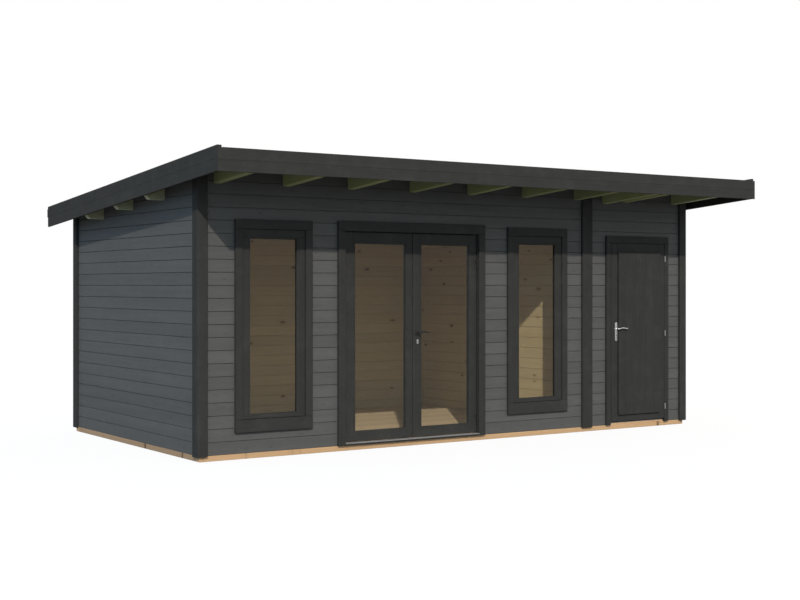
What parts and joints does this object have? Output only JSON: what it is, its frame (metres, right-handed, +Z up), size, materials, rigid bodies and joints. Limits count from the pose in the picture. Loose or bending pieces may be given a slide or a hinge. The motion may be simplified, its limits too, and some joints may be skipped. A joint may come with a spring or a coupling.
{
  "type": "garden house",
  "caption": "Timber garden house with a near-flat roof sloping to the back, a glazed double door, two tall windows and a store room with its own door.",
  "frame": {"origin": "on the ground, in the middle of the roof's rectangular outline", "axes": "+Z up, +X to the right along the front, +Y to the back; the doors and windows face -Y"},
  "size_m": [6.298, 4.089, 2.6642],
  "materials": {
    "wall_paint": "anthracite grey stain, silk matt",
    "trim_paint": "dark anthracite stain, silk matt",
    "bare_pine": "unpainted planed pine",
    "base_pine": "impregnated pine",
    "treated_pine": "pressure-treated pine, greenish grey",
    "floor_pine": "planed pine boards",
    "glass": "clear",
    "felt": "mineral roofing felt, rough",
    "aluminium": "brushed",
    "hardware": "polished"
  },
  "bodies": {
    "house": {"base_long_beams": "base_pine", "base_cross_beams": "base_pine", "floor_joists": "base_pine", "floor_boards": "floor_pine", "purlins": "treated_pine", "front_rafters": "treated_pine", "roof_boards": "bare_pine", "roof_felt": "felt", "front_fascia": "trim_paint", "back_fascia": "trim_paint", "left_fascia": "trim_paint", "right_fascia": "trim_paint", "front_wall_left": "wall_paint", "front_wall_over_double_door": "wall_paint", "front_wall_middle": "wall_paint", "front_wall_over_store_door": "wall_paint", "front_wall_right": "wall_paint", "left_wall": "wall_paint", "right_wall": "wall_paint", "back_wall": "wall_paint", "partition_wall": "bare_pine", "corner_posts": "trim_paint", "partition_posts": "trim_paint", "left_window_frame": "trim_paint", "left_window_sash": "trim_paint", "left_window_glass": "glass", "right_window_frame": "trim_paint", "right_window_sash": "trim_paint", "right_window_glass": "glass", "double_door_frame": "trim_paint", "store_door_frame": "trim_paint", "double_door_threshold": "aluminium", "store_door_threshold": "aluminium", "hinge_frame_knuckles": "hardware"},
    "left_door": {"left_door_leaf": "trim_paint", "left_door_glass": "glass", "left_door_hinges": "hardware"},
    "right_door": {"right_door_leaf": "trim_paint", "right_door_glass": "glass", "right_door_hinges": "hardware", "right_door_lock": "hardware"},
    "right_door_lever_body": {"right_door_lever": "hardware"},
    "store_door": {"store_door_leaf": "trim_paint", "store_door_hinges": "hardware", "store_door_lock": "hardware"},
    "store_door_lever_body": {"store_door_lever": "hardware"}
  },
  "joints": [
    {"name": "left_door_hinge", "type": "hinge", "parent": "house", "child": "left_door", "pos_m": [-1.453, -1.2055, 1.048], "axis": [0, 0, -1], "range_deg": [0, 95]},
    {"name": "right_door_hinge", "type": "hinge", "parent": "house", "child": "right_door", "pos_m": [0.083, -1.2055, 1.048], "axis": [0, 0, 1], "range_deg": [0, 95]},
    {"name": "store_door_hinge", "type": "hinge", "parent": "house", "child": "store_door", "pos_m": [2.618, -1.2475, 1.048], "axis": [0, 0, 1], "range_deg": [0, 165]},
    {"name": "right_door_lever_turn", "type": "hinge", "parent": "right_door", "child": "right_door_lever_body", "pos_m": [-0.63, -1.2305, 1.076], "axis": [0, 1, 0], "range_deg": [0, 38], "stiffness_Nm_per_rad": 0.8, "springref_deg": -34.38},
    {"name": "store_door_lever_turn", "type": "hinge", "parent": "store_door", "child": "store_door_lever_body", "pos_m": [1.905, -1.2705, 1.07], "axis": [0, 1, 0], "range_deg": [0, 38], "stiffness_Nm_per_rad": 0.8, "springref_deg": -34.38}
  ]
}
